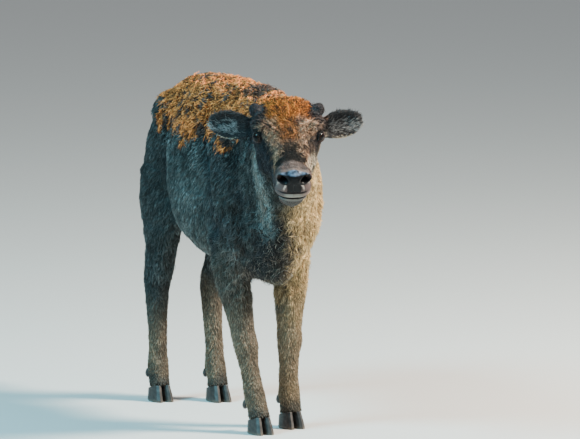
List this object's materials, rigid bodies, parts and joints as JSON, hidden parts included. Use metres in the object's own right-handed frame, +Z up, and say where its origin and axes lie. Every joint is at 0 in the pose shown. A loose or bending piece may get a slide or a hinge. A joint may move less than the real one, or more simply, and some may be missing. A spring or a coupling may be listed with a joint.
{
  "type": "bison calf",
  "caption": "Life-size museum model of a young bison calf standing alert, head raised and turned to face the viewer, shaggy orange and dark brown coat, small horn buds.",
  "frame": {"origin": "on the floor, under the middle of the model's bounding box", "axes": "+Z up, -Y the way the calf's body faces, +X towards the calf's left side"},
  "size_m": [0.3702, 1.1816, 0.8729],
  "materials": {
    "coat": "shaggy hair, rusty orange on the back and forehead, dark brown elsewhere",
    "muzzle": "moist bare skin, glossy at the nose pad",
    "eye": "wet dark eye",
    "horn": "dark young horn",
    "hoof": "dark horn, slightly worn"
  },
  "bodies": {
    "root": {"dewclaw_foreleg_left_inner": "hoof", "dewclaw_foreleg_left_outer": "hoof", "dewclaw_foreleg_right_inner": "hoof", "dewclaw_foreleg_right_outer": "hoof", "dewclaw_hindleg_left_inner": "hoof", "dewclaw_hindleg_left_outer": "hoof", "dewclaw_hindleg_right_inner": "hoof", "dewclaw_hindleg_right_outer": "hoof", "ear_left": "coat", "ear_right": "coat", "eye_left": "eye", "eye_right": "eye", "foreleg_left": "coat", "foreleg_right": "coat", "head": "coat", "hindleg_left": "coat", "hindleg_right": "coat", "hoof_foreleg_left_inner": "hoof", "hoof_foreleg_left_outer": "hoof", "hoof_foreleg_right_inner": "hoof", "hoof_foreleg_right_outer": "hoof", "hoof_hindleg_left_inner": "hoof", "hoof_hindleg_left_outer": "hoof", "hoof_hindleg_right_inner": "hoof", "hoof_hindleg_right_outer": "hoof", "horn_left": "horn", "horn_right": "horn", "jaw": "coat", "muzzle": "muzzle", "neck": "coat", "tail": "coat", "trunk": "coat"}
  },
  "joints": []
}
